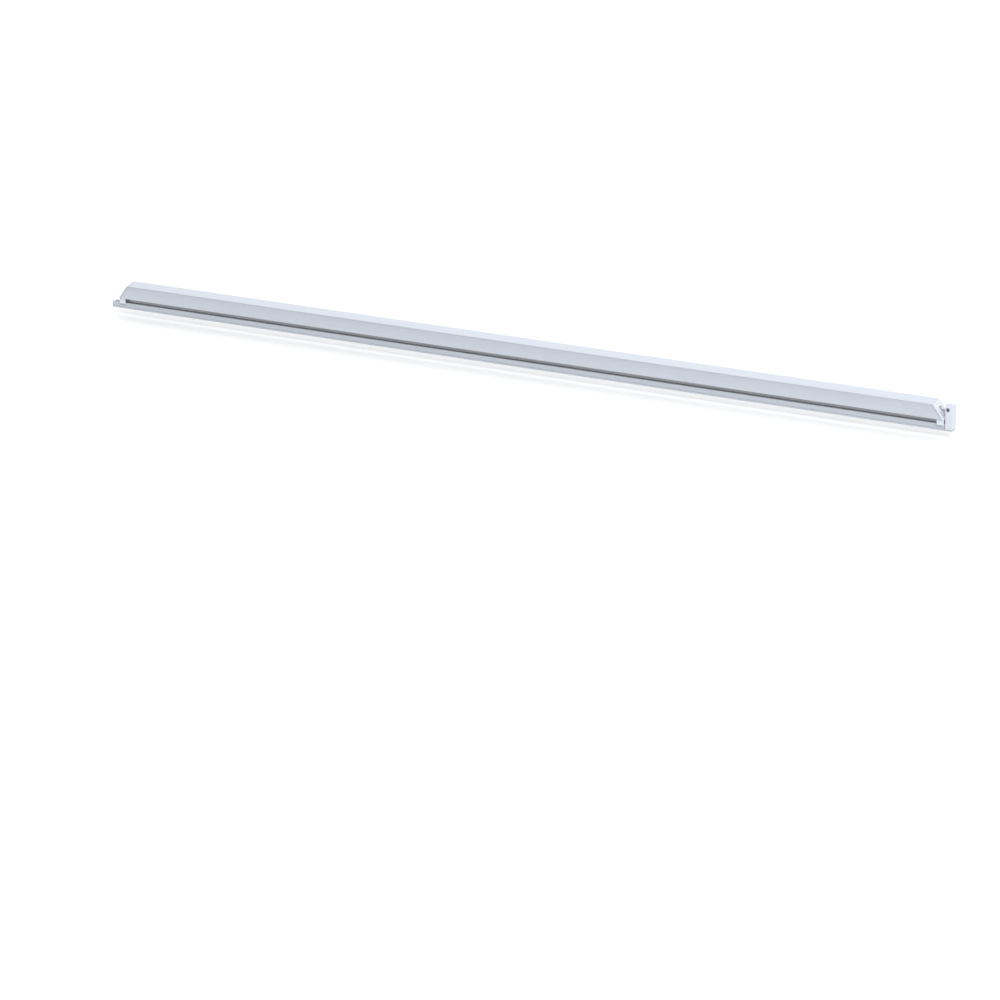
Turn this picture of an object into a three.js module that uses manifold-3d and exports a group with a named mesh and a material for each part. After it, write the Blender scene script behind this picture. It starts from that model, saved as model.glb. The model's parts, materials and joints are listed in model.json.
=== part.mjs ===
// Surface-mounted automatic door bottom seal. All sizes are in millimetres.
//
// The mounting rail is screwed to the door. Inside it a push rod runs from end to end, and the
// release cap on its right end is pushed in by the door frame as the door closes. The rod then
// squeezes three leaf springs, which bow down and lower the seal bar. A snap-on hood with mitred
// end caps covers the rail.
//
// +X runs along the length towards the release cap, +Y points into the door and +Z is up.
// The origin is the centre of the rail's back face, which lies on the door.

import * as THREE from 'three';
import { mergeVertices } from 'three/addons/utils/BufferGeometryUtils.js';
import Module from 'manifold-3d';

const wasm = await Module();
wasm.setup();

// ---------------------------------------------------------------- driving dimensions

const clearance = 0.3; // between pieces that touch
const roundSteps = 20; // sides of a small round
const curveSegments = 6; // of a rounded corner

const hoodLength = 910; // along the hood's bottom edge
const hoodDepth = 15; // door to flat front
const hoodFront = 13.5; // height of the flat front
const hoodRise = 2.5; // how far the top climbs from the crease to the door
const hoodWall = 1.2;
const endBevel = 10; // how far an end leans in over the height of the front
const hookWidth = 1;
const hookSetback = 0.5; // from the rail's back wall to the hood's hook
const lipDepth = 0.9; // snap lip under the rail's front wall
const lipHeight = 0.8;

const railHeight = 18.4;
const railBack = 1.6; // wall on the door
const railFront = 1.1; // wall behind the hood's front
const railWeb = 1;

const fixingCount = 6;
const fixingPitch = 150;
const fixingHole = 3.2;
const fixingHead = 5.6; // countersink diameter
const driverHole = 6;

const capPlate = 1.4; // thickness of a hood end cap's sloping plate
const capPlugLength = 5;
const capPlugWall = 1;
const legWidth = 7; // leg that closes the end of the slit under the hood
const legInset = 0.5;
const legDrop = 5.8; // below the hood's bottom edge

const rodWidth = 4.4;
const rodHeight = 1.8;
const rodHeadroom = 1.1; // rail web to rod
const rodTail = 420; // how far the rod reaches left of the centre

const clipLength = 10; // U clips that hold or ride on the rod
const clipWall = 1;
const clipFloor = 1;
const tabLength = 4;
const tabProud = 0.5; // how far a clip's tab stands above the rail's web
const guideInset = 20; // end of the rail to the right rod guide

const springCount = 3;
const springPitch = 300;
const leafWidth = 5;
const leafThickness = 0.5;
const leafSag = 3.2; // of the leaf at rest
const leafSteps = 24;

const rivetHole = 2.4;
const rivetShank = 1.8;
const rivetHead = 3.6;
const rivetHeadHeight = 0.7;
const rivetTail = 3.2;
const rivetTailHeight = 0.5;
const rivetPlay = 1.3; // each way, in the slot at the middle of a leaf

const releaseTravel = 4; // of the cap and the rod
const sealDrop = 8; // of the bar and the seal

const barGap = 0.4; // rail wall to bar
const barWall = 1;
const barFloor = 1;
const barHeadroom = 0.8; // rail web to the top of the bar
const barEndGap = 1; // end of the bar's channel to the hood's end cap
const neckWidth = 2;
const footWidth = 5.2; // foot of the bar, held in the seal
const footHeight = 1;

const saddleLength = 12;
const saddleWidth = 6;
const saddleHeight = 1.8;
const plugLength = 8;
const plugFlange = 1.5;
const plugBelowRod = 1.8;

const slit = 5.2; // hood's bottom edge to the top of the seal
const sealInset = 1.1; // each side, behind the faces of the bar
const sealHeight = 6.2;
const sealShoulder = 1.7; // thickness of the seal over the bar's foot
const sealChamfer = 0.4;
const sealOverhang = 10; // beyond the hood's bottom edge, at the left end
const chamberWidth = 4.4;
const chamberHeight = 0.9;
const chamberRoof = 0.5;
const lipThickness = 1.4; // of the seal's bottom lip
const grooveHeight = 0.6;
const grooveDepth = 0.5;
const sealRound = 0.5;

const releaseGap = 0.4; // hood's bottom corner to the release cap
const releaseWidth = 6.6;
const releaseFront = 1; // front wall of the release cap
const releaseEnd = 1.2; // end wall
const releaseBelowTop = 0.7; // under the hood's top edge
const releaseHead = 10; // solid part that grips the rod
const releaseCorner = 1.5;
const releaseFall = 2.5; // of its top, from the front to the door
const sealTrim = 0.9; // release cap to the cut end of the seal's body

const screwDiameter = 3.4;
const screwHole = 3.8;
const screwInset = 2.3; // from the release cap's inner face
const screwRecess = 0.5;
const screwSocket = 1.9; // across the corners
const screwSocketDepth = 1.2;

// ---------------------------------------------------------------- derived levels and places

const slope = hoodRise / hoodDepth;
const hoodRoof = hoodWall * Math.hypot(1, slope); // wall thickness measured straight down
const hoodTop = railHeight / 2 + clearance + hoodRoof + slope * railBack;
const crease = hoodTop - hoodRise;
const hoodBottom = crease - hoodFront;
const underHood = (y) => hoodTop + slope * y - hoodRoof;

const railOuterY = -(hoodDepth - hoodWall - clearance);
const channelFrontY = railOuterY + railFront;
const centreY = (channelFrontY - railBack) / 2; // middle of the rail's channel
const channelHalf = -(channelFrontY + railBack) / 2;
const webTop = underHood(railOuterY) - clearance;
const webBottom = webTop - railWeb;

const hoodHalf = hoodLength / 2;
const lean = endBevel / hoodFront;
const flare = lean * slope; // keeps the ends of the sloping top square to its length
const alongHip = Math.hypot(1, lean, flare); // turns a thickness across the hip into one along X

// The outer face of an end cap, and what lies behind it.
const hip = (y, z) => hoodHalf - lean * (z - hoodBottom) + flare * (y + hoodDepth);
const plateBack = (y, z) => hip(y, z) - capPlate * alongHip;
const hoodEnd = (y, z) => plateBack(y, z) - clearance * alongHip;
const railHalf = plateBack(-hoodDepth, crease) - capPlugLength - clearance;

const rodTop = webBottom - rodHeadroom;
const rodBottom = rodTop - rodHeight;
const clipSeat = rodBottom - clearance; // top of a clip's floor
const clipHalf = rodWidth / 2 + clearance + clipWall;
const leafTop = clipSeat - clipFloor - clearance;
const leafMiddle = leafTop - leafSag;

const saddleTop = leafMiddle - leafThickness - clearance;
const barFloorTop = saddleTop - saddleHeight - clearance;
const barFloorBottom = barFloorTop - barFloor;
const barTop = webBottom - barHeadroom;
const barHalfWidth = channelHalf - barGap;
const barHalf = plateBack(centreY - barHalfWidth, barTop) - barEndGap;
const neckHalf = hoodHalf - legInset - clearance;

const sealTop = hoodBottom - slit;
const sealBottom = sealTop - sealHeight;
const sealHalfWidth = barHalfWidth - sealInset;
const lipTop = sealBottom + lipThickness;
const slotTop = sealTop - sealShoulder;
const footTop = slotTop - clearance;
const footBottom = footTop - footHeight;
const slotBottom = footBottom - clearance;

const releaseInner = hoodHalf + releaseGap;
const releaseOuter = releaseInner + releaseWidth;
const sealSpan = [-hoodHalf - sealOverhang, releaseOuter]; // its right end is flush with the cap
const releaseHalfDepth = sealHalfWidth + clearance + releaseFront;
const releaseTop = hoodTop - releaseBelowTop;
const releaseBottom = lipTop + clearance;
const releaseFrontY = centreY - releaseHalfDepth;
const releaseBackY = centreY + releaseHalfDepth;
const rodEnd = releaseOuter - releaseEnd - 2 * clearance;
const releaseHeadBottom = releaseTop - releaseHead;
const inward = releaseTravel + clearance * alongHip; // hip to the release cap, measured along X
const hipLevel = (y, x) => hoodBottom + (hip(y, hoodBottom) - x) / lean; // where the end cap reaches x

// The release cap's front wall slides into a slot in the right end cap's plate, and the plate's
// bottom edge is trimmed clear of the release cap's end wall.
const frontSlotBackY = releaseFrontY + releaseFront + clearance;
const frontSlotTop = hipLevel(frontSlotBackY, releaseInner - inward);
const plateTrimTop = hipLevel(releaseBackY, releaseOuter - releaseEnd - inward);
const headReliefTop = hipLevel(releaseBackY, releaseInner - inward);

// A clamped leaf of span c and sag s is shorter than its arc by about (pi s)^2 / 4c, so this span
// lowers its middle by sealDrop when its ends come together by releaseTravel.
const leafSpan = (Math.PI ** 2 / 4) * ((leafSag + sealDrop) ** 2 - leafSag ** 2) / releaseTravel;

const spread = (count, pitch) => Array.from({ length: count }, (_, i) => (i - (count - 1) / 2) * pitch);
const springX = spread(springCount, springPitch);
const anchorX = springX.map((x) => x - leafSpan / 2);
const sliderX = springX.map((x) => x + leafSpan / 2);
const guideLeftX = -(rodTail - clipLength);
const guideRightX = railHalf - guideInset;

// ---------------------------------------------------------------- materials

function material(color, roughness, metalness) {
  return new THREE.MeshStandardMaterial({ color, roughness, metalness });
}

const anodised = material(0xd3d8e0, 0.38, 0.85);
const millAluminium = material(0xb4b8be, 0.5, 0.9);
const capPlastic = material(0xdde1e7, 0.5, 0);
const nylon = material(0xe2e5e9, 0.55, 0);
const innerNylon = material(0xc9ccd0, 0.55, 0);
const sealRubber = material(0xc9ced6, 0.75, 0);
const steel = material(0x9a9ea3, 0.35, 1);
const springSteel = material(0x6f7680, 0.3, 1);
const blackSteel = material(0x2a2c30, 0.5, 0.8);

// ---------------------------------------------------------------- solids

function solid(geometry) {
  geometry.deleteAttribute('normal');
  geometry.deleteAttribute('uv');
  const merged = mergeVertices(geometry, 1e-4);
  return new wasm.Manifold(new wasm.Mesh({
    numProp: 3,
    vertProperties: merged.getAttribute('position').array,
    triVerts: new Uint32Array(merged.index.array),
  }));
}

const join = (...solids) => solids.reduce((whole, piece) => whole.add(piece));
const cut = (body, ...tools) => tools.reduce((rest, tool) => rest.subtract(tool), body);

function block([x0, x1], [y0, y1], [z0, z1]) {
  const box = new THREE.BoxGeometry(x1 - x0, y1 - y0, z1 - z0);
  return solid(box.translate((x0 + x1) / 2, (y0 + y1) / 2, (z0 + z1) / 2));
}

const outlineOf = (points) => points.map(([u, v]) => new THREE.Vector2(u, v));

// A (y, z) outline run along X. Each end is a place, or a function of y and z where it is mitred.
function alongX(points, start, end, hole) {
  const outer = outlineOf(points);
  const shape = new THREE.Shape(outer);
  if (hole) {
    const inner = outlineOf(hole);
    const { isClockWise } = THREE.ShapeUtils;
    if (isClockWise(inner) === isClockWise(outer)) inner.reverse(); // a hole runs the other way round
    shape.holes.push(new THREE.Path(inner));
  }
  const geometry = new THREE.ExtrudeGeometry(shape, { depth: 1, bevelEnabled: false });
  const place = (limit, y, z) => (typeof limit === 'function' ? limit(y, z) : limit);
  const position = geometry.getAttribute('position');
  for (let i = 0; i < position.count; i++) {
    const y = position.getX(i);
    const z = position.getY(i);
    const from = place(start, y, z);
    position.setXYZ(i, from + position.getZ(i) * (place(end, y, z) - from), y, z);
  }
  return solid(geometry);
}

// An (x, z) shape run along Y.
function alongY(shape, y0, y1) {
  const options = { depth: y1 - y0, bevelEnabled: false, curveSegments };
  const geometry = new THREE.ExtrudeGeometry(shape, options);
  return solid(geometry.rotateX(Math.PI / 2).translate(0, y1, 0));
}

function cylinderZ(x, y, diameter, [z0, z1]) {
  const drum = new THREE.CylinderGeometry(diameter / 2, diameter / 2, z1 - z0, roundSteps);
  return solid(drum.rotateX(Math.PI / 2).translate(x, y, (z0 + z1) / 2));
}

function cylinderY(x, z, diameter, [y0, y1], diameterAtY1 = diameter, sides = roundSteps) {
  const drum = new THREE.CylinderGeometry(diameterAtY1 / 2, diameter / 2, y1 - y0, sides);
  return solid(drum.translate(x, (y0 + y1) / 2, z));
}

// Closes an outline that is symmetric about the middle of the channel, from its +Y half.
function symmetric(half) {
  const far = half.map(([d, z]) => [centreY + d, z]);
  const near = half.map(([d, z]) => [centreY - d, z]).reverse();
  return [...far, ...near];
}

function part(name, body, finish, [x, y, z] = [0, 0, 0]) {
  const { numProp, numVert, vertProperties, triVerts } = body.getMesh();
  const positions = new Float32Array(numVert * 3);
  for (let i = 0; i < numVert; i++) {
    positions.set(vertProperties.subarray(i * numProp, i * numProp + 3), i * 3);
  }
  const indexed = new THREE.BufferGeometry();
  indexed.setAttribute('position', new THREE.BufferAttribute(positions, 3));
  indexed.setIndex(new THREE.BufferAttribute(new Uint32Array(triVerts), 1));
  const geometry = indexed.toNonIndexed();
  geometry.computeVertexNormals();
  const mesh = new THREE.Mesh(geometry, finish);
  mesh.name = name;
  mesh.position.set(x, y, z);
  return mesh;
}

// ---------------------------------------------------------------- rail, hood and end caps

function mountingRail() {
  const railBottom = -railHeight / 2;
  const wallBottom = hoodBottom + lipHeight + clearance;
  const profile = alongX([
    [0, railBottom],
    [0, railHeight / 2],
    [-railBack, railHeight / 2],
    [-railBack, webTop],
    [railOuterY, webTop],
    [railOuterY, wallBottom],
    [channelFrontY, wallBottom],
    [channelFrontY, webBottom],
    [-railBack, webBottom],
    [-railBack, railBottom],
  ], -railHalf, railHalf);

  // The screws go in between the rod and the top of the bar while the bar is held down.
  const fixingZ = (rodBottom + barTop - sealDrop) / 2;
  const headDepth = (fixingHead - fixingHole) / 2;
  const fixings = spread(fixingCount, fixingPitch).flatMap((x) => [
    cylinderY(x, fixingZ, fixingHole, [-railBack - 1, 1]),
    cylinderY(x, fixingZ, fixingHead, [-railBack, -railBack + headDepth], fixingHole),
    cylinderY(x, fixingZ, driverHole, [railOuterY - 1, channelFrontY + 1]),
  ]);

  const tabHalf = tabLength / 2 + clearance;
  const tabSlot = (x, side) => {
    const middle = centreY + side * (clipHalf - clipWall / 2);
    const reach = clipWall / 2 + clearance;
    return block([x - tabHalf, x + tabHalf], [middle - reach, middle + reach], [webBottom - 1, webTop + 1]);
  };
  const clips = [guideLeftX, ...anchorX, guideRightX];
  const slots = clips.flatMap((x) => [tabSlot(x, -1), tabSlot(x, 1)]);
  return cut(profile, ...fixings, ...slots);
}

function hood() {
  const backY = -clearance;
  const innerY = -(hoodDepth - hoodWall);
  const hookBackY = -(railBack + hookSetback);
  const hookFrontY = hookBackY - hookWidth;
  const hookBottom = webTop + clearance;
  const cover = alongX([
    [backY, underHood(backY) + hoodRoof],
    [-hoodDepth, crease],
    [-hoodDepth, hoodBottom],
    [innerY, hoodBottom],
    [innerY, underHood(innerY)],
    [hookFrontY, underHood(hookFrontY)],
    [hookFrontY, hookBottom],
    [hookBackY, hookBottom],
    [hookBackY, underHood(hookBackY)],
    [backY, underHood(backY)],
  ], (y, z) => -hoodEnd(y, z), hoodEnd);
  const snapLip = block(
    [-railHalf, railHalf],
    [innerY - hoodWall / 2, innerY + lipDepth],
    [hoodBottom, hoodBottom + lipHeight],
  );
  return join(cover, snapLip);
}

// A sloping plate that closes the hood's end, with a plug inside the hood and a leg across the
// slit. side is 1 for the right end and -1 for the left.
function hoodEndCap(side, releases) {
  const mirrored = (face) => (y, z) => -face(y, z);
  const span = (inner, outer) => (side > 0 ? [inner, outer] : [mirrored(outer), mirrored(inner)]);
  const backY = -clearance;
  const legBackY = railOuterY + capPlugWall;
  const slottedEdge = [
    [legBackY, hoodBottom],
    [legBackY, frontSlotTop],
    [frontSlotBackY, frontSlotTop],
    [frontSlotBackY, plateTrimTop],
    [backY, plateTrimTop],
  ];
  const lowEdge = releases ? slottedEdge : [[backY, hoodBottom]];
  const rodGap = rodWidth / 2 + clearance;
  const rodHole = [
    [centreY - rodGap, rodTop + clearance],
    [centreY + rodGap, rodTop + clearance],
    [centreY + rodGap, rodBottom - clearance],
    [centreY - rodGap, rodBottom - clearance],
  ];
  const plate = alongX(
    [[backY, underHood(backY) + hoodRoof], [-hoodDepth, crease], [-hoodDepth, hoodBottom], ...lowEdge],
    ...span(plateBack, hip),
    releases ? rodHole : undefined,
  );

  const plugBackY = -(railBack + hookSetback + hookWidth + clearance);
  const plugTop = (y) => underHood(y) - clearance;
  const plug = alongX([
    [plugBackY, plugTop(plugBackY)],
    [railOuterY, plugTop(railOuterY)],
    [railOuterY, hoodBottom],
    [legBackY, hoodBottom],
    [legBackY, plugTop(railOuterY) - capPlugWall],
    [plugBackY, plugTop(plugBackY) - capPlugWall],
  ], ...span((y, z) => plateBack(y, z) - capPlugLength, (y, z) => plateBack(y, z) + capPlate / 2));

  const legEnd = hoodHalf - legInset;
  const legSpan = side > 0 ? [legEnd - legWidth, legEnd] : [-legEnd, -legEnd + legWidth];
  const leg = block(legSpan, [railOuterY, legBackY], [hoodBottom - legDrop, hoodBottom + capPlugWall / 2]);
  return join(plate, plug, leg);
}

// ---------------------------------------------------------------- rod, clips and release cap

// A U clip round the rod, with z = 0 at the top of its floor.
function clip(wallHeight, tabHeight, pierced) {
  const half = clipLength / 2;
  const pieces = [block([-half, half], [-clipHalf, clipHalf], [-clipFloor, 0])];
  for (const side of [-1, 1]) {
    const wall = [clipHalf - clipWall, clipHalf].map((d) => d * side).sort((a, b) => a - b);
    pieces.push(block([-half, half], wall, [-clipFloor / 2, wallHeight]));
    if (tabHeight > 0) {
      pieces.push(block([-tabLength / 2, tabLength / 2], wall, [0, wallHeight + tabHeight]));
    }
  }
  const body = join(...pieces);
  return pierced ? cut(body, cylinderZ(0, 0, rivetHole, [-2 * clipFloor, clipFloor])) : body;
}

const fixedWallHeight = webBottom - clearance - clipSeat;
const fixedTabHeight = clearance + railWeb + tabProud;
const springAnchor = () => clip(fixedWallHeight, fixedTabHeight, true);
const rodGuide = () => clip(fixedWallHeight, fixedTabHeight, false);
const springSlider = () => clip(rodTop + clearance - clipSeat, 0, true);

function pushRod() {
  const across = [centreY - rodWidth / 2, centreY + rodWidth / 2];
  const rod = block([-rodTail, rodEnd], across, [rodBottom, rodTop]);
  const holes = sliderX.map((x) => cylinderZ(x, centreY, rivetHole, [rodBottom - 1, rodTop + 1]));
  return cut(rod, ...holes);
}

const rodMiddle = (rodTop + rodBottom) / 2;
const screwX = releaseInner + screwInset;
const screwTipY = centreY - rodWidth / 2 - clearance;

// A shell that is open towards the hood, at the bottom and at the back. Its solid head is cut away
// at the bottom where it would meet the end cap's slope.
function actuatorCap() {
  const outline = new THREE.Shape();
  outline.moveTo(releaseInner, releaseBottom);
  outline.lineTo(releaseOuter, releaseBottom);
  outline.lineTo(releaseOuter, releaseTop - releaseCorner);
  outline.absarc(releaseOuter - releaseCorner, releaseTop - releaseCorner, releaseCorner, 0, Math.PI / 2);
  outline.lineTo(releaseInner, releaseTop);
  const body = alongY(outline, releaseFrontY, releaseBackY);
  const fall = alongX([
    [releaseFrontY, releaseTop],
    [releaseBackY, releaseTop - releaseFall],
    [releaseBackY + 1, releaseTop - releaseFall],
    [releaseBackY + 1, releaseTop + 1],
    [releaseFrontY, releaseTop + 1],
  ], releaseInner - 1, releaseOuter + 1);
  const hollow = block(
    [releaseInner - 1, releaseOuter - releaseEnd],
    [releaseFrontY + releaseFront, releaseBackY + 1],
    [releaseBottom - 1, releaseHeadBottom],
  );
  const relief = alongX([
    [releaseFrontY + releaseFront, releaseHeadBottom - 1],
    [releaseBackY + 1, releaseHeadBottom - 1],
    [releaseBackY + 1, headReliefTop],
    [releaseFrontY + releaseFront, headReliefTop],
  ], releaseInner - releaseTravel / 2, (y, z) => hip(y, z) + inward);
  const rodReach = rodWidth / 2 + clearance;
  const rodSlot = block(
    [releaseInner - 1, rodEnd + clearance],
    [centreY - rodReach, centreY + rodReach],
    [rodBottom - clearance, rodTop + clearance],
  );
  const screwBore = cylinderY(screwX, rodMiddle, screwHole, [releaseFrontY - 1, screwTipY + clearance]);
  return cut(body, fall, hollow, relief, rodSlot, screwBore);
}

function actuatorScrew() {
  const headY = releaseFrontY + screwRecess;
  const body = cylinderY(screwX, rodMiddle, screwDiameter, [headY, screwTipY]);
  const socketSpan = [headY - 1, headY + screwSocketDepth];
  const socket = cylinderY(screwX, rodMiddle, screwSocket, socketSpan, screwSocket, 6);
  return cut(body, socket);
}

// ---------------------------------------------------------------- springs and rivets

// A spring-steel strip with flat ends, z = 0 at the top of the ends, sagging in the middle.
function leafSpring() {
  const reach = leafSpan / 2 + clipLength / 2;
  const curve = Array.from({ length: leafSteps + 1 }, (_, i) => {
    const x = (i / leafSteps - 0.5) * leafSpan;
    return [x, -leafSag * (1 + Math.cos(2 * Math.PI * x / leafSpan)) / 2];
  });
  const upper = [[-reach, 0], ...curve, [reach, 0]];
  const lower = upper.map(([x, z]) => [x, z - leafThickness]).reverse();
  const strip = alongY(new THREE.Shape(outlineOf([...upper, ...lower])), -leafWidth / 2, leafWidth / 2);
  const through = [-leafSag - 2 * leafThickness, leafThickness];
  const slot = join(
    cylinderZ(-rivetPlay, 0, rivetHole, through),
    cylinderZ(rivetPlay, 0, rivetHole, through),
    block([-rivetPlay, rivetPlay], [-rivetHole / 2, rivetHole / 2], through),
  );
  const ends = [-1, 1].map((side) => cylinderZ(side * leafSpan / 2, 0, rivetHole, through));
  return cut(strip, slot, ...ends);
}

// A rivet with z = 0 at the seat of its head and its shank along +Z.
function rivet(shankLength, hasTail) {
  const profile = [
    [0, -rivetHeadHeight],
    [rivetHead / 3, -rivetHeadHeight],
    [rivetHead / 2, -rivetHeadHeight / 3],
    [rivetHead / 2, 0],
    [rivetShank / 2, 0],
    [rivetShank / 2, shankLength],
  ];
  if (hasTail) {
    profile.push([rivetTail / 2, shankLength], [rivetTail / 2, shankLength + rivetTailHeight]);
  }
  const top = hasTail ? shankLength + rivetTailHeight : shankLength;
  const lathe = new THREE.LatheGeometry(outlineOf([...profile, [0, top]]), roundSteps);
  return solid(lathe.rotateX(Math.PI / 2));
}

// ---------------------------------------------------------------- bar, seal and what is on them

const onAxis = (x) => cylinderZ(x, centreY, rivetHole, [barFloorBottom, barFloorTop + 1]);

// A channel over a neck and a foot. At its ends the channel is cut back to clear the end caps, and
// the neck and the foot run on to close the slit.
function dropBar() {
  const profile = alongX(symmetric([
    [barHalfWidth - barWall, barFloorTop],
    [barHalfWidth - barWall, barTop],
    [barHalfWidth, barTop],
    [barHalfWidth, barFloorBottom],
    [neckWidth / 2, barFloorBottom],
    [neckWidth / 2, footTop],
    [footWidth / 2, footTop],
    [footWidth / 2, footBottom],
  ]), -neckHalf, neckHalf);
  const beyondChannel = (start, end) => block(
    [start, end],
    [centreY - channelHalf, centreY + channelHalf],
    [barFloorBottom - clearance, barTop + 1],
  );
  const notches = [beyondChannel(barHalf, neckHalf + 1), beyondChannel(-neckHalf - 1, -barHalf)];
  return cut(profile, ...notches, ...springX.map(onAxis));
}

// The body stops short of the release cap, and only the bottom lip runs on under it.
function doorSeal() {
  const slotHalf = footWidth / 2 + clearance;
  const mouthHalf = neckWidth / 2 + clearance;
  const chamberTop = slotBottom - chamberRoof;
  const profile = symmetric([
    [slotHalf, slotBottom],
    [slotHalf, slotTop],
    [mouthHalf, slotTop],
    [mouthHalf, sealTop],
    [sealHalfWidth - sealChamfer, sealTop],
    [sealHalfWidth, sealTop - sealChamfer],
    [sealHalfWidth, lipTop + grooveHeight],
    [sealHalfWidth - grooveDepth, lipTop + grooveHeight / 2],
    [sealHalfWidth, lipTop],
    [sealHalfWidth, sealBottom + sealRound],
    [sealHalfWidth - sealRound, sealBottom],
  ]);
  const chamber = symmetric([
    [chamberWidth / 2, chamberTop],
    [chamberWidth / 2, chamberTop - chamberHeight],
  ]);
  const body = alongX(profile, ...sealSpan, chamber);
  const trim = block(
    [releaseInner - sealTrim, releaseOuter + 1],
    [centreY - 2 * sealHalfWidth, centreY + 2 * sealHalfWidth],
    [lipTop, sealTop + 1],
  );
  return cut(body, trim);
}

function springSaddle() {
  const half = saddleLength / 2;
  const body = block([-half, half], [-saddleWidth / 2, saddleWidth / 2], [0, saddleHeight]);
  return cut(body, cylinderZ(0, 0, rivetHole, [-1, saddleHeight + 1]));
}

function barEndPlug(side) {
  const half = barHalfWidth - barWall - clearance;
  const top = rodBottom - plugBelowRod;
  const face = barHalf + clearance;
  const reach = (from, to) => (side > 0 ? [from, to] : [-to, -from]);
  const plug = block(
    reach(barHalf - plugLength, face + plugFlange / 2),
    [centreY - half, centreY + half],
    [barFloorTop + clearance, top],
  );
  const flange = block(
    reach(face, face + plugFlange),
    [centreY - barHalfWidth, centreY + barHalfWidth],
    [barFloorBottom, top],
  );
  return join(plug, flange);
}

// ---------------------------------------------------------------- assembly

const fixed = new THREE.Group();
fixed.add(
  part('mounting_rail', mountingRail(), anodised),
  part('hood', hood(), anodised),
  part('hood_end_cap_right', hoodEndCap(1, true), capPlastic),
  part('hood_end_cap_left', hoodEndCap(-1, false), capPlastic),
  part('rod_guide_left', rodGuide(), innerNylon, [guideLeftX, centreY, clipSeat]),
  part('rod_guide_right', rodGuide(), innerNylon, [guideRightX, centreY, clipSeat]),
);

const release = new THREE.Group();
release.add(
  part('push_rod', pushRod(), steel),
  part('actuator_cap', actuatorCap(), nylon),
  part('actuator_screw', actuatorScrew(), blackSteel),
);

const dropping = new THREE.Group();
dropping.add(
  part('drop_bar', dropBar(), millAluminium),
  part('door_seal', doorSeal(), sealRubber),
  part('bar_end_plug_right', barEndPlug(1), innerNylon),
  part('bar_end_plug_left', barEndPlug(-1), innerNylon),
);

const underLeaf = leafTop - leafThickness - clearance;
const anchorShank = clipSeat - clearance - underLeaf;
const sliderShank = rodTop + clearance - underLeaf;
const overLeaf = leafMiddle + clearance;
const saddleShank = overLeaf - barFloorBottom - clearance;
const springs = new THREE.Group();

springX.forEach((x, i) => {
  const number = i + 1;
  fixed.add(
    part(`spring_anchor_${number}`, springAnchor(), steel, [anchorX[i], centreY, clipSeat]),
    part(`anchor_rivet_${number}`, rivet(anchorShank, false), steel, [anchorX[i], centreY, underLeaf]),
  );
  release.add(
    part(`spring_slider_${number}`, springSlider(), innerNylon, [sliderX[i], centreY, clipSeat]),
    part(`slider_rivet_${number}`, rivet(sliderShank, true), steel, [sliderX[i], centreY, underLeaf]),
  );
  const place = [x, centreY, overLeaf];
  const saddleRivet = part(`saddle_rivet_${number}`, rivet(saddleShank, false), steel, place);
  saddleRivet.rotation.x = Math.PI; // head above the leaf, shank down
  dropping.add(
    part(`spring_saddle_${number}`, springSaddle(), innerNylon, [x, centreY, saddleTop - saddleHeight]),
    saddleRivet,
  );
  springs.add(part(`leaf_spring_${number}`, leafSpring(), springSteel, [x, centreY, leafTop]));
});

const doorSweep = new THREE.Group();
doorSweep.add(fixed, release, dropping, springs);

export default doorSweep;
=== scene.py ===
# Looks for the surface-mounted automatic door bottom seal. All sizes are in metres.
#
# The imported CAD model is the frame: +X runs along the length towards the release cap, +Y points
# into the door and +Z is up. The hood, the seal, the release cap's screw and the leaf springs are
# made again here with their rounded edges and finer shapes. The other CAD nodes stay, with their
# edges broken by modifiers and a finish of their own.

import json
import math

import bmesh
import bpy
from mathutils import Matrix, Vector
from mathutils.geometry import tessellate_polygon


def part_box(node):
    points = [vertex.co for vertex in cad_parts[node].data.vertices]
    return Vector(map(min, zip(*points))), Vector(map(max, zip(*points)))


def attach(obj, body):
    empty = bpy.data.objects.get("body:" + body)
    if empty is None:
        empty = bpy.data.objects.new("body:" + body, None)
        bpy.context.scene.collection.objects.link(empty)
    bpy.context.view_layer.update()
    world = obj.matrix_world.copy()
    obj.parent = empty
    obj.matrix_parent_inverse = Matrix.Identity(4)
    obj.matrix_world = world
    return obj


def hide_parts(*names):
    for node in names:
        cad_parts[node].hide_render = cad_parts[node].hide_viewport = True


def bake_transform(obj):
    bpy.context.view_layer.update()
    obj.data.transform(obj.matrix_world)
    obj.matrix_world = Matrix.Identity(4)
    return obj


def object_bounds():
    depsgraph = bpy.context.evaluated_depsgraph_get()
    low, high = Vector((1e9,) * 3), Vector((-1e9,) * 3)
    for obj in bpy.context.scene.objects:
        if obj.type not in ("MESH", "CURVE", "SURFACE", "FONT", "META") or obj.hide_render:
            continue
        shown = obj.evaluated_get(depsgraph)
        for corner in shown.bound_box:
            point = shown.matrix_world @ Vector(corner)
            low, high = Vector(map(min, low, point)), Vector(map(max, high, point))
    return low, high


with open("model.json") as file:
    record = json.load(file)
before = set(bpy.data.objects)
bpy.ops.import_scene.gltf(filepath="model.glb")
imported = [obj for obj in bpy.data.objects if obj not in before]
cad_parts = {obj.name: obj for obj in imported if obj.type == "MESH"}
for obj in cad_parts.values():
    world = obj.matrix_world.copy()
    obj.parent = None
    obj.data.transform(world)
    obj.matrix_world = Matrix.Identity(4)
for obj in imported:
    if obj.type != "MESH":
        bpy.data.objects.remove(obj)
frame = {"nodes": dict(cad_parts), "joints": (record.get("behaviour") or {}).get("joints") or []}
cad_low, cad_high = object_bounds()

MM = 0.001

# ---------------------------------------------------------------- camera

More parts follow.
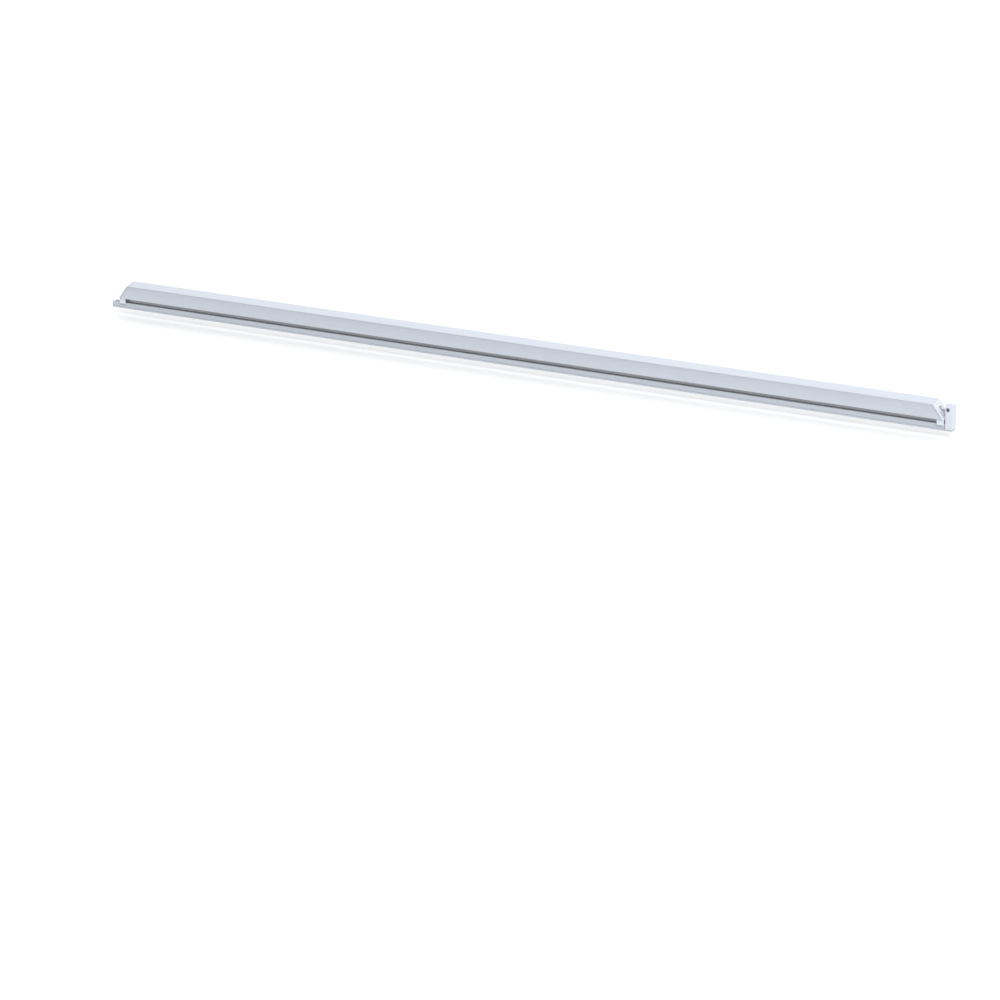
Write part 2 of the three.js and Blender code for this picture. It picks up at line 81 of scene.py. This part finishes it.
CAMERA_PLACE = (1.7518, -3.2549, 1.0387)
CAMERA_HEADING = 28.53  # degrees, turned from +Y towards -X
CAMERA_TILT = 17.92  # degrees below the horizon
CAMERA_LENS = 141.6
SENSOR_WIDTH = 36


def add_camera():
    data = bpy.data.cameras.new("camera")
    data.sensor_width = SENSOR_WIDTH
    data.lens = CAMERA_LENS
    data.clip_start = 0.05
    data.clip_end = 100
    camera = bpy.data.objects.new("camera", data)
    camera.location = CAMERA_PLACE
    camera.rotation_euler = (math.radians(90 - CAMERA_TILT), 0, math.radians(CAMERA_HEADING))
    bpy.context.scene.collection.objects.link(camera)
    bpy.context.scene.camera = camera


# ---------------------------------------------------------------- materials


# A noise's values mostly lie between these, so they are spread over the whole of a range.
NOISE_LOW = 0.3
NOISE_HIGH = 0.7
MOULD_GRAIN = 0.25 * MM


def new_material(name, colour, metallic, roughness):
    """A material with its node tree and its Principled shader."""
    made = bpy.data.materials.new(name)
    made.use_nodes = True
    tree = made.node_tree
    shader = tree.nodes["Principled BSDF"]
    shader.inputs["Base Color"].default_value = (*colour, 1)
    shader.inputs["Metallic"].default_value = metallic
    shader.inputs["Roughness"].default_value = roughness
    return made, tree, shader


def noise(tree, size, detail):
    """A noise whose features are about size = (x, y, z) metres across."""
    place = tree.nodes.new("ShaderNodeTexCoord")
    stretch = tree.nodes.new("ShaderNodeMapping")
    stretch.inputs["Scale"].default_value = [1 / s for s in size]
    texture = tree.nodes.new("ShaderNodeTexNoise")
    texture.inputs["Scale"].default_value = 1
    texture.inputs["Detail"].default_value = detail
    tree.links.new(place.outputs["Object"], stretch.inputs["Vector"])
    tree.links.new(stretch.outputs["Vector"], texture.inputs["Vector"])
    return texture.outputs["Fac"]


def average(tree, a, b, share):
    """share of a and the rest of b."""
    mix = tree.nodes.new("ShaderNodeMix")
    mix.inputs["Factor"].default_value = share
    tree.links.new(b, mix.inputs["A"])
    tree.links.new(a, mix.inputs["B"])
    return mix.outputs["Result"]


def vary_colour(tree, shader, value, dark, light):
    ramp = tree.nodes.new("ShaderNodeValToRGB")
    first, last = ramp.color_ramp.elements
    first.position = NOISE_LOW
    first.color = (*dark, 1)
    last.position = NOISE_HIGH
    last.color = (*light, 1)
    tree.links.new(value, ramp.inputs["Fac"])
    tree.links.new(ramp.outputs["Color"], shader.inputs["Base Color"])


def vary_roughness(tree, shader, value, smooth, rough):
    spread = tree.nodes.new("ShaderNodeMapRange")
    spread.inputs["From Min"].default_value = NOISE_LOW
    spread.inputs["From Max"].default_value = NOISE_HIGH
    spread.inputs["To Min"].default_value = smooth
    spread.inputs["To Max"].default_value = rough
    tree.links.new(value, spread.inputs["Value"])
    tree.links.new(spread.outputs["Result"], shader.inputs["Roughness"])


def add_bump(tree, shader, value, height, strength):
    bump = tree.nodes.new("ShaderNodeBump")
    bump.inputs["Strength"].default_value = strength
    bump.inputs["Distance"].default_value = height
    tree.links.new(value, bump.inputs["Height"])
    tree.links.new(bump.outputs["Normal"], shader.inputs["Normal"])


def shade(colour, factor):
    return tuple(min(1.0, c * factor) for c in colour)


def anodised_aluminium():
    """Satin silver: fine die lines along the extrusion under a soft etched bloom."""
    colour = (0.56, 0.60, 0.66)
    made, tree, shader = new_material("finish_anodised_aluminium", colour, 1.0, 0.38)
    lines = noise(tree, (250 * MM, 0.35 * MM, 0.35 * MM), 4)
    bloom = noise(tree, (60 * MM, 12 * MM, 12 * MM), 2)
    tone = average(tree, lines, bloom, 0.65)
    vary_colour(tree, shader, tone, shade(colour, 0.93), shade(colour, 1.05))
    vary_roughness(tree, shader, tone, 0.34, 0.46)
    add_bump(tree, shader, lines, 0.03 * MM, 0.5)
    return made


def mill_aluminium():
    """As extruded: duller and more streaked than the anodised pieces. Its colour is darkened far
    below bare aluminium, as painted shade for the slit under the hood.
    """
    # Base colour darkened well below bare aluminium: painted shade for the slit under the hood,
    # where the drop bar shows.
    colour = (0.36, 0.372, 0.39)
    made, tree, shader = new_material("finish_mill_aluminium_painted_shade", colour, 1.0, 0.48)
    lines = noise(tree, (120 * MM, 0.4 * MM, 0.4 * MM), 5)
    stain = noise(tree, (30 * MM, 6 * MM, 6 * MM), 3)
    tone = average(tree, lines, stain, 0.6)
    vary_colour(tree, shader, tone, shade(colour, 0.82), shade(colour, 1.08))
    vary_roughness(tree, shader, tone, 0.4, 0.6)
    add_bump(tree, shader, lines, 0.05 * MM, 0.6)
    return made


def moulded_plastic(name, colour, smooth, rough):
    """A spark-eroded mould texture, with a slight unevenness of tone from the flow."""
    made, tree, shader = new_material(name, colour, 0.0, rough)
    shader.inputs["Specular IOR Level"].default_value = 0.45
    texture = noise(tree, (MOULD_GRAIN,) * 3, 2)
    flow = noise(tree, (6 * MM, 4 * MM, 4 * MM), 2)
    tone = average(tree, texture, flow, 0.4)
    vary_colour(tree, shader, tone, shade(colour, 0.95), shade(colour, 1.03))
    vary_roughness(tree, shader, texture, smooth, rough)
    add_bump(tree, shader, texture, 0.02 * MM, 0.7)
    return made


def seal_rubber():
    """Matt soft seal: faint drawn lines, a fine dusty speckle and slow changes of tone."""
    colour = (0.47, 0.50, 0.55)
    made, tree, shader = new_material("finish_seal_rubber", colour, 0.0, 0.8)
    shader.inputs["Specular IOR Level"].default_value = 0.3
    drawn = noise(tree, (80 * MM, 0.6 * MM, 0.6 * MM), 3)
    speckle = noise(tree, (0.3 * MM,) * 3, 2)
    tone = average(tree, drawn, speckle, 0.55)
    vary_colour(tree, shader, tone, shade(colour, 0.92), shade(colour, 1.04))
    vary_roughness(tree, shader, speckle, 0.7, 0.88)
    add_bump(tree, shader, tone, 0.05 * MM, 0.7)
    return made


def brushed_steel(name, colour, smooth, rough, contrast, grain):
    """Fine marks of the size of grain, with uneven patches and a little contrast between them."""
    made, tree, shader = new_material(name, colour, 1.0, rough)
    lines = noise(tree, grain, 4)
    patches = noise(tree, (4 * MM, 2 * MM, 2 * MM), 3)
    tone = average(tree, lines, patches, 0.5)
    vary_colour(tree, shader, tone, shade(colour, 1 - contrast), shade(colour, 1 + contrast))
    vary_roughness(tree, shader, lines, smooth, rough)
    add_bump(tree, shader, lines, 0.02 * MM, 0.6)
    return made


def blued_spring_steel():
    """Tempered strip: straw and blue patches over a fine roll direction."""
    made, tree, shader = new_material("finish_spring_steel", (0.3, 0.34, 0.42), 1.0, 0.3)
    rolled = noise(tree, (20 * MM, 0.25 * MM, 0.25 * MM), 4)
    temper = noise(tree, (20 * MM, 10 * MM, 10 * MM), 2)
    tone = average(tree, rolled, temper, 0.35)
    vary_colour(tree, shader, tone, (0.20, 0.25, 0.36), (0.46, 0.43, 0.40))
    vary_roughness(tree, shader, rolled, 0.22, 0.4)
    add_bump(tree, shader, rolled, 0.02 * MM, 0.5)
    return made


BRUSHED = (10 * MM, 0.2 * MM, 0.2 * MM)
BLASTED = (0.4 * MM,) * 3

FINISHES = {
    "anodised_aluminium": anodised_aluminium(),
    # The drop bar's finish carries painted shade for the slit under the hood.
    "mill_aluminium": mill_aluminium(),
    "cap_plastic": moulded_plastic("finish_cap_plastic", (0.60, 0.645, 0.71), 0.42, 0.56),
    "release_nylon": moulded_plastic("finish_release_nylon", (0.57, 0.61, 0.67), 0.46, 0.6),
    "inner_nylon": moulded_plastic("finish_inner_nylon", (0.60, 0.62, 0.64), 0.48, 0.62),
    "seal_rubber": seal_rubber(),
    "steel": brushed_steel("finish_zinc_steel", (0.62, 0.635, 0.66), 0.25, 0.42, 0.12, BRUSHED),
    "spring_steel": blued_spring_steel(),
    "black_steel": brushed_steel("finish_dark_steel", (0.2, 0.205, 0.22), 0.35, 0.55, 0.25, BLASTED),
}

# ---------------------------------------------------------------- meshes


SMOOTH_ANGLE = math.radians(32)
ARC_STEPS = 5


def smooth_by_angle(mesh):
    mesh.shade_smooth()
    mesh.set_sharp_from_angle(angle=SMOOTH_ANGLE)


def new_piece(name, shape, finish):
    """An object from a bmesh, with a finish from the record's slot of that name."""
    bmesh.ops.recalc_face_normals(shape, faces=shape.faces)
    mesh = bpy.data.meshes.new(name)
    shape.to_mesh(mesh)
    shape.free()
    smooth_by_angle(mesh)
    piece = bpy.data.objects.new(name, mesh)
    bpy.context.scene.collection.objects.link(piece)
    piece.data.materials.append(FINISHES[finish])
    return piece


def apply_modifiers(piece):
    """Leaves the piece with the mesh that its modifiers make."""
    evaluated = piece.evaluated_get(bpy.context.evaluated_depsgraph_get())
    final = bpy.data.meshes.new_from_object(evaluated)
    piece.modifiers.clear()
    piece.data = final
    smooth_by_angle(final)


def rounded(corners):
    """An outline from corners (a, b, radius), with an arc at each corner that has a radius."""
    points = []
    for i, (a, b, radius) in enumerate(corners):
        corner = Vector((a, b))
        if not radius:
            points.append(corner)
            continue
        before = (Vector(corners[i - 1][:2]) - corner).normalized()
        after = (Vector(corners[(i + 1) % len(corners)][:2]) - corner).normalized()
        half = before.angle(after) / 2
        centre = corner + (before + after).normalized() * radius / math.sin(half)
        start = corner + before * radius / math.tan(half) - centre
        turn = math.copysign(math.pi - 2 * half, after.cross(before))
        for step in range(ARC_STEPS + 1):
            angle = math.atan2(start.y, start.x) + turn * step / ARC_STEPS
            points.append(centre + Vector((math.cos(angle), math.sin(angle))) * radius)
    return points


def run_along_x(shape, outline, start, end, hole=()):
    """Adds a (y, z) outline run along X. Each end is a place, or a function of y and z."""

    def place(limit, point):
        return limit(*point) if callable(limit) else limit

    loops = [list(outline)]
    if hole:
        loops.append(list(hole))
    rings = []
    for limit in (start, end):
        rings.append([[shape.verts.new((place(limit, p), *p)) for p in loop] for loop in loops])
    for near, far in zip(*rings):
        for i in range(len(near)):
            shape.faces.new((near[i - 1], near[i], far[i], far[i - 1]))
    fan = tessellate_polygon([[Vector((*p, 0)) for p in loop] for loop in loops])
    for ring in rings:
        verts = [v for loop in ring for v in loop]
        if hole:
            for triangle in fan:
                shape.faces.new([verts[k] for k in triangle])
        else:
            shape.faces.new(verts)


def middle(node, axis):
    low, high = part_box(node)
    return (low[axis] + high[axis]) / 2


def travel(joint_name):
    """How far a joint slides, at most."""
    joint = next(j for j in frame["joints"] if j["name"] == joint_name)
    return joint["range_m"][1]


# ---------------------------------------------------------------- hood

HOOD_WALL = 1.2 * MM
HOOD_RISE = 2.5 * MM  # from the crease to the door
HOOD_FRONT = 13.5 * MM
END_BEVEL = 10 * MM  # how far an end leans in over the height of the front
HOOK_INSET = 2.1 * MM  # door to the back of the hook over the rail
HOOK_WIDTH = 1 * MM
SNAP_DEPTH = 0.9 * MM  # snap lip under the rail's front wall
SNAP_HEIGHT = 0.8 * MM
SNAP_NOSE_ROUND = 0.4 * MM
CREASE_ROUND = 0.8 * MM
RIM_ROUND = 0.25 * MM
INNER_ROUND = 0.2 * MM
HOOK_ROOT_ROUND = 0.15 * MM
HOOD_EDGE = 0.12 * MM  # broken edge of the mitred ends


def make_hood():
    """A folded-looking extrusion with a rounded crease, mitred at both ends."""
    low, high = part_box("hood")
    rail_low, rail_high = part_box("mounting_rail")
    front, back, bottom = low.y, high.y, low.z
    slope = HOOD_RISE / -front
    roof = HOOD_WALL * math.hypot(1, slope)
    lean = END_BEVEL / HOOD_FRONT
    flare = lean * slope
    corner_x = high.x - flare * HOOD_WALL

    def top(y):
        return high.z + slope * (y - back)

    def under(y):
        return top(y) - roof

    def end(y, z):
        return corner_x - lean * (z - bottom) + flare * (y - front)

    inner = front + HOOD_WALL
    hook_back = -HOOK_INSET
    hook_front = hook_back - HOOK_WIDTH
    hook_bottom = under(rail_low.y)
    cover = rounded([
        (back, top(back), RIM_ROUND),
        (front, top(front), CREASE_ROUND),
        (front, bottom, RIM_ROUND),
        (inner, bottom, INNER_ROUND),
        (inner, under(inner), RIM_ROUND),
        (hook_front, under(hook_front), HOOK_ROOT_ROUND),
        (hook_front, hook_bottom, INNER_ROUND),
        (hook_back, hook_bottom, INNER_ROUND),
        (hook_back, under(hook_back), HOOK_ROOT_ROUND),
        (back, under(back), INNER_ROUND),
    ])
    shape = bmesh.new()
    run_along_x(shape, cover, lambda y, z: -end(y, z), end)
    snap_lip = rounded([
        (inner - HOOD_WALL / 2, bottom, 0),
        (inner + SNAP_DEPTH, bottom, SNAP_NOSE_ROUND),
        (inner + SNAP_DEPTH, bottom + SNAP_HEIGHT, INNER_ROUND),
        (inner - HOOD_WALL / 2, bottom + SNAP_HEIGHT, 0),
    ])
    run_along_x(shape, snap_lip, rail_low.x, rail_high.x)
    hood = new_piece("hood_cover", shape, "anodised_aluminium")
    break_edges(hood, HOOD_EDGE)
    apply_modifiers(hood)
    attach(hood, "root")
    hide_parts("hood")


# ---------------------------------------------------------------- seal

SLOT_HALF = 2.9 * MM  # slot that holds the bar's foot
MOUTH_HALF = 1.3 * MM
SHOULDER = 1.7 * MM  # seal over the foot
SLOT_HEIGHT = 1.6 * MM
CHAMBER_HALF = 2.2 * MM
CHAMBER_HEIGHT = 0.9 * MM
CHAMBER_ROOF = 0.5 * MM
LIP_HEIGHT = 1.4 * MM
GROOVE_HEIGHT = 0.6 * MM
GROOVE_DEPTH = 0.5 * MM
SEAL_TRIM = 0.9 * MM  # release cap to the cut end of the seal's body
SHOULDER_ROUND = 0.7 * MM
LIP_ROUND = 0.5 * MM
MOUTH_ROUND = 0.3 * MM
SLOT_ROUND = 0.2 * MM
FINE_ROUND = 0.15 * MM
GROOVE_ROUND = 0.1 * MM


def symmetric(centre, half):
    """The whole outline from half of it, given as (distance from centre, z, radius)."""
    near = [(centre - d, z, r) for d, z, r in reversed(half)]
    return [(centre + d, z, r) for d, z, r in half] + near


def make_seal():
    """A soft extrusion with round shoulders and a groove. Its lip runs on at the right."""
    low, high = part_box("door_seal")
    centre = (low.y + high.y) / 2
    half = (high.y - low.y) / 2
    slot_top = high.z - SHOULDER
    slot_bottom = slot_top - SLOT_HEIGHT
    lip_top = low.z + LIP_HEIGHT
    chamber_top = slot_bottom - CHAMBER_ROOF
    body = rounded(symmetric(centre, [
        (SLOT_HALF, slot_bottom, SLOT_ROUND),
        (SLOT_HALF, slot_top, SLOT_ROUND),
        (MOUTH_HALF, slot_top, FINE_ROUND),
        (MOUTH_HALF, high.z, MOUTH_ROUND),
        (half, high.z, SHOULDER_ROUND),
        (half, lip_top + GROOVE_HEIGHT, FINE_ROUND),
        (half - GROOVE_DEPTH, lip_top + GROOVE_HEIGHT / 2, GROOVE_ROUND),
        (half, lip_top, 0),
        (half, low.z, LIP_ROUND),
    ]))
    chamber = rounded(symmetric(centre, [
        (CHAMBER_HALF, chamber_top, MOUTH_ROUND),
        (CHAMBER_HALF, chamber_top - CHAMBER_HEIGHT, MOUTH_ROUND),
    ]))
    lip = rounded(symmetric(centre, [(half, lip_top, 0), (half, low.z, LIP_ROUND)]))
    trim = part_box("actuator_cap")[0].x - SEAL_TRIM
    shape = bmesh.new()
    run_along_x(shape, body, low.x, trim, chamber)
    run_along_x(shape, lip, trim, high.x)
    seal = new_piece("soft_seal", shape, "seal_rubber")
    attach(seal, "seal_bar")
    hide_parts("door_seal")


# ---------------------------------------------------------------- screw in the release cap

SCREW_SIDES = 48
SOCKET_RADIUS = 0.95 * MM  # to its corners
SOCKET_DEPTH = 1.2 * MM
SOCKET_CHAMFER = 0.1 * MM
THREAD_PITCH = 0.5 * MM
THREAD_DEPTH = 0.2 * MM


def make_screw():
    """A socket set screw: chamfered, with a hexagon socket and thread rings."""
    low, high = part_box("actuator_screw")
    x, z = middle("actuator_screw", 0), middle("actuator_screw", 2)
    radius = (high.z - low.z) / 2
    chamfer = THREAD_DEPTH

    shape = bmesh.new()

    def circle(angle):
        return 1

    def hexagon(angle):
        return math.cos(math.pi / 6) / math.cos(angle % (math.pi / 3) - math.pi / 6)

    def ring(y, size, outline=circle):
        verts = []
        for k in range(SCREW_SIDES):
            angle = 2 * math.pi * k / SCREW_SIDES
            reach = size * outline(angle)
            place = (x + reach * math.cos(angle), y, z + reach * math.sin(angle))
            verts.append(shape.verts.new(place))
        return verts

    rings = [
        ring(low.y + SOCKET_DEPTH, SOCKET_RADIUS, hexagon),
        ring(low.y + SOCKET_CHAMFER, SOCKET_RADIUS, hexagon),
        ring(low.y, SOCKET_RADIUS + SOCKET_CHAMFER, hexagon),
        ring(low.y, radius - chamfer),
        ring(low.y + chamfer, radius),
    ]
    thread = low.y + 2 * chamfer
    while thread + THREAD_PITCH < high.y - chamfer:
        rings.append(ring(thread, radius))
        rings.append(ring(thread + THREAD_PITCH / 2, radius - THREAD_DEPTH))
        thread += THREAD_PITCH
    rings.append(ring(high.y - chamfer, radius))
    rings.append(ring(high.y, radius - 2 * chamfer))
    for near, far in zip(rings, rings[1:]):
        for i in range(SCREW_SIDES):
            shape.faces.new((near[i - 1], near[i], far[i], far[i - 1]))
    bottom = shape.verts.new((x, low.y + SOCKET_DEPTH + SOCKET_RADIUS / 2, z))
    for i in range(SCREW_SIDES):
        shape.faces.new((rings[0][i], rings[0][i - 1], bottom))
    shape.faces.new(rings[-1])
    screw = new_piece("clamp_screw", shape, "black_steel")
    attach(screw, "release")
    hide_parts("actuator_screw")


# ---------------------------------------------------------------- leaf springs

LEAF_THICKNESS = 0.5 * MM
LEAF_END = 5 * MM  # flat end beyond the rivet
LEAF_STEP = 1 * MM
LEAF_EDGE = 0.1 * MM
RIVET_HOLE = 1.2 * MM  # radius
RIVET_PLAY = 1.3 * MM  # each way, in the slot at the middle
PAD_CLEARANCE = 0.4 * MM  # slider's rivet, pushed in, to the half of the leaf in front of it
HALF_HOLE_STEPS = 16
DRILL_REACH = 3 * MM
SAME_PLACE = 1e-7


def drill(piece, x, y, z, play=0.0):
    """Cuts a round hole, or a slot if there is play, down through the piece."""
    outline = []
    for side in (1, -1):
        for k in range(HALF_HOLE_STEPS + 1):
            angle = math.pi * (side / 2 - k / HALF_HOLE_STEPS)
            along = side * play + RIVET_HOLE * math.cos(angle)
            outline.append((x + along, y + RIVET_HOLE * math.sin(angle)))
    shape = bmesh.new()
    bottom, top = [
        [shape.verts.new((*place, z + side * DRILL_REACH)) for place in outline]
        for side in (-1, 1)
    ]
    for i in range(len(outline)):
        shape.faces.new((bottom[i - 1], bottom[i], top[i], top[i - 1]))
    shape.faces.new(bottom)
    shape.faces.new(top)
    bmesh.ops.remove_doubles(shape, verts=shape.verts, dist=SAME_PLACE)
    bmesh.ops.recalc_face_normals(shape, faces=shape.faces)
    mesh = bpy.data.meshes.new("drill")
    shape.to_mesh(mesh)
    shape.free()
    cutter = bpy.data.objects.new("drill", mesh)
    bpy.context.scene.collection.objects.link(cutter)
    hole = piece.modifiers.new("hole", "BOOLEAN")
    hole.object = cutter
    hole.solver = "EXACT"
    apply_modifiers(piece)
    bpy.data.objects.remove(cutter)


def make_leaf_spring(number):
    """A strip in three lengths. Two halves curve down from their ends to the middle, and the last
    end rides with the slider's rivet."""
    node = f"leaf_spring_{number}"
    low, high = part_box(node)
    centre_x, centre_y = middle(node, 0), middle(node, 1)
    half_width = (high.y - low.y) / 2
    half_span = (high.x - low.x) / 2 - LEAF_END
    sag = high.z - low.z - LEAF_THICKNESS

    def top(x):
        turn = max(-1.0, min(1.0, (x - centre_x) / half_span))
        return high.z - sag * (1 + math.cos(math.pi * turn)) / 2

    def strip(name, start, end):
        section = [
            (-half_width, -LEAF_EDGE),
            (-half_width + LEAF_EDGE, 0),
            (half_width - LEAF_EDGE, 0),
            (half_width, -LEAF_EDGE),
            (half_width, LEAF_EDGE - LEAF_THICKNESS),
            (half_width - LEAF_EDGE, -LEAF_THICKNESS),
            (LEAF_EDGE - half_width, -LEAF_THICKNESS),
            (-half_width, LEAF_EDGE - LEAF_THICKNESS),
        ]
        count = max(2, round((end - start) / LEAF_STEP))
        shape = bmesh.new()
        rings = []
        for k in range(count + 1):
            x = start + (end - start) * k / count
            places = [(x, centre_y + across, top(x) + up) for across, up in section]
            rings.append([shape.verts.new(place) for place in places])
        for near, far in zip(rings, rings[1:]):
            for i in range(len(section)):
                shape.faces.new((near[i - 1], near[i], far[i], far[i - 1]))
        shape.faces.new(rings[0])
        shape.faces.new(rings[-1])
        return new_piece(f"{name}_{number}", shape, "spring_steel")

    anchor_x, slider_x = centre_x - half_span, centre_x + half_span
    rivet_low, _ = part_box(f"slider_rivet_{number}")
    pad_x = rivet_low.x - travel("actuator_press") - PAD_CLEARANCE
    near_half = strip("leaf_anchor_half", low.x, centre_x)
    far_half = strip("leaf_slider_half", centre_x, pad_x)
    pad = strip("leaf_slider_end", pad_x, high.x)
    drill(near_half, anchor_x, centre_y, top(anchor_x))
    for piece in (near_half, far_half):
        drill(piece, centre_x, centre_y, top(centre_x), RIVET_PLAY)
    drill(pad, slider_x, centre_y, top(slider_x))
    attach(pad, "release")
    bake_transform(near_half)
    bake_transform(far_half)
    for piece in (near_half, far_half, pad):
        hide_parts(node)


# ---------------------------------------------------------------- CAD nodes that stay

EDGE_WIDTHS = {
    "mounting_rail": 0.15 * MM,
    "hood_end_cap": 0.3 * MM,
    "actuator_cap": 0.4 * MM,
    "drop_bar": 0.12 * MM,
    "push_rod": 0.15 * MM,
    "bar_end_plug": 0.25 * MM,
    "spring_saddle": 0.25 * MM,
}
EDGE_WIDTH = 0.12 * MM  # of every other node
EDGE_STEPS = 3
EDGE_ANGLE = math.radians(40)
FLAT_ANGLE = math.radians(0.5)
WELD_REACH = 1e-6


def break_edges(piece, width):
    """Rounds the sharp edges of a mesh with modifiers, without moving its faces."""
    weld = piece.modifiers.new("weld", "WELD")
    weld.merge_threshold = WELD_REACH
    flatten = piece.modifiers.new("flatten", "DECIMATE")
    flatten.decimate_type = "DISSOLVE"
    flatten.angle_limit = FLAT_ANGLE
    bevel = piece.modifiers.new("bevel", "BEVEL")
    bevel.width = width
    bevel.segments = EDGE_STEPS
    bevel.limit_method = "ANGLE"
    bevel.angle_limit = EDGE_ANGLE


def edge_width(name):
    for start, width in EDGE_WIDTHS.items():
        if name.startswith(start):
            return width
    return EDGE_WIDTH


def finish_cad_nodes():
    """Breaks the edges of the nodes that nothing has replaced, and gives them their finishes."""
    for name, node in frame["nodes"].items():
        if node.hide_render:
            continue
        break_edges(node, edge_width(name))
        for place in node.material_slots:
            place.material = FINISHES[place.material.name.split(".")[0]]


# ---------------------------------------------------------------- stage and light

FLOOR_REACH = 12
FLOOR_GAP = 0.5 * MM  # under the seal when it is down
FLOOR_COLOUR = (0.92, 0.92, 0.92)
FLOOR_ROUGHNESS = 0.9
SKY_BRIGHT_SIDE = (0, 0.8, 0.6)
SKY_FRONT = 0.68
SKY_BACK = 1.5
KEY_PLACE = (2.6, -3.2, 3.0)
KEY_SIZE = (2, 1.4)
KEY_POWER = 130


def add_stage():
    """A white floor, just low enough for the seal to come down."""
    floor_z = cad_low.z - travel("seal_drop") - FLOOR_GAP
    shape = bmesh.new()
    corners = [(-1, -1), (1, -1), (1, 1), (-1, 1)]
    places = [(x * FLOOR_REACH, y * FLOOR_REACH, floor_z) for x, y in corners]
    shape.faces.new([shape.verts.new(place) for place in places])
    mesh = bpy.data.meshes.new("floor")
    shape.to_mesh(mesh)
    shape.free()
    floor = bpy.data.objects.new("floor", mesh)
    made, _, shader = new_material("floor_white", FLOOR_COLOUR, 0, FLOOR_ROUGHNESS)
    shader.inputs["Specular IOR Level"].default_value = 0
    mesh.materials.append(made)
    bpy.context.scene.collection.objects.link(floor)


def add_key_light():
    """A soft light in front, turned to the part's origin."""
    data = bpy.data.lights.new("key", "AREA")
    data.shape = "RECTANGLE"
    data.size, data.size_y = KEY_SIZE
    data.energy = KEY_POWER
    light = bpy.data.objects.new("key", data)
    light.location = KEY_PLACE
    light.rotation_euler = (-Vector(KEY_PLACE)).to_track_quat("-Z", "Y").to_euler()
    bpy.context.scene.collection.objects.link(light)


def add_sky():
    """A white sky, brightest behind and above."""
    world = bpy.data.worlds.new("studio")
    world.use_nodes = True
    tree = world.node_tree
    background = tree.nodes["Background"]
    background.inputs["Color"].default_value = (1, 1, 1, 1)
    direction = tree.nodes.new("ShaderNodeTexCoord")
    towards = tree.nodes.new("ShaderNodeVectorMath")
    towards.operation = "DOT_PRODUCT"
    towards.inputs[1].default_value = SKY_BRIGHT_SIDE
    spread = tree.nodes.new("ShaderNodeMapRange")
    spread.inputs["To Min"].default_value = SKY_FRONT
    spread.inputs["To Max"].default_value = SKY_BACK
    tree.links.new(direction.outputs["Generated"], towards.inputs[0])
    tree.links.new(towards.outputs["Value"], spread.inputs["Value"])
    tree.links.new(spread.outputs["Result"], background.inputs["Strength"])
    bpy.context.scene.world = world


# ---------------------------------------------------------------- putting it together

add_camera()
add_stage()
add_sky()
add_key_light()
bpy.context.scene.view_settings.view_transform = "Standard"

make_hood()
make_seal()
make_screw()
for number in (1, 2, 3):
    make_leaf_spring(number)
finish_cad_nodes()
